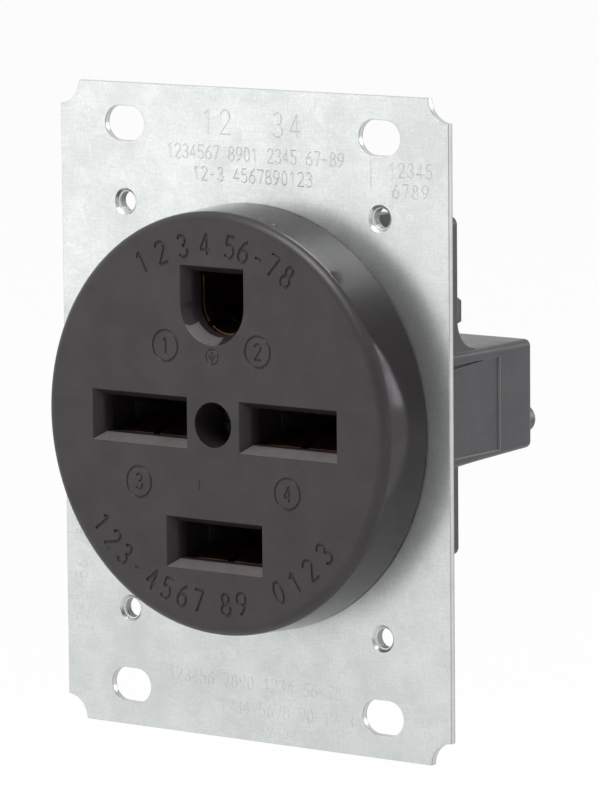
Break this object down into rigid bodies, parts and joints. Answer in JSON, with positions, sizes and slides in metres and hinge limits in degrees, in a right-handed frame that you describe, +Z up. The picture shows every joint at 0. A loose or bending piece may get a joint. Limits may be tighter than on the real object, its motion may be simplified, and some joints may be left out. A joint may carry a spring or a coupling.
{
  "type": "flush mount receptacle",
  "caption": "Round-faced power receptacle on a slotted steel strap: blade slots, a U-shaped ground slot and rear wire clamps.",
  "frame": {"origin": "centre of the box-screw slot pattern, on the strap's rear face", "axes": "+Z up as mounted on a wall, +Y into the wall, so the plug comes in along +Y; +X to the right seen from the front"},
  "size_m": [0.0698, 0.0399, 0.0952],
  "materials": {
    "strap_steel": "galvanised, fine spangle, light scratches",
    "face_plastic": "moulded thermoset, satin face and glossier rim",
    "body_plastic": "moulded thermoset, satin",
    "contact_brass": "rolled brass",
    "spring_steel": "tempered spring steel",
    "lug_metal": "tin-plated aluminium",
    "screw_steel": "zinc-plated steel",
    "ground_screw_steel": "dark green lacquered steel",
    "blackened_steel": "black-oxide steel",
    "rivet_steel": "zinc-plated steel"
  },
  "bodies": {
    "root": {"base_housing": "body_plastic", "centre_nut": "screw_steel", "centre_screw": "blackened_steel", "contact_spring_left": "spring_steel", "contact_spring_lower": "spring_steel", "contact_spring_right": "spring_steel", "face_cover": "face_plastic", "ground_contact": "contact_brass", "ground_plate": "contact_brass", "ground_screw": "ground_screw_steel", "ground_spring": "spring_steel", "line_contact_left": "contact_brass", "line_contact_lower": "contact_brass", "line_contact_right": "contact_brass", "line_screw_left": "screw_steel", "line_screw_lower": "screw_steel", "line_screw_right": "screw_steel", "mounting_strap": "strap_steel", "pressure_plate_left": "lug_metal", "pressure_plate_lower": "lug_metal", "pressure_plate_right": "lug_metal", "strap_rivet_1": "rivet_steel", "strap_rivet_2": "rivet_steel", "strap_rivet_3": "rivet_steel", "strap_rivet_4": "rivet_steel", "terminal_lug_left": "lug_metal", "terminal_lug_lower": "lug_metal", "terminal_lug_right": "lug_metal"}
  },
  "joints": []
}
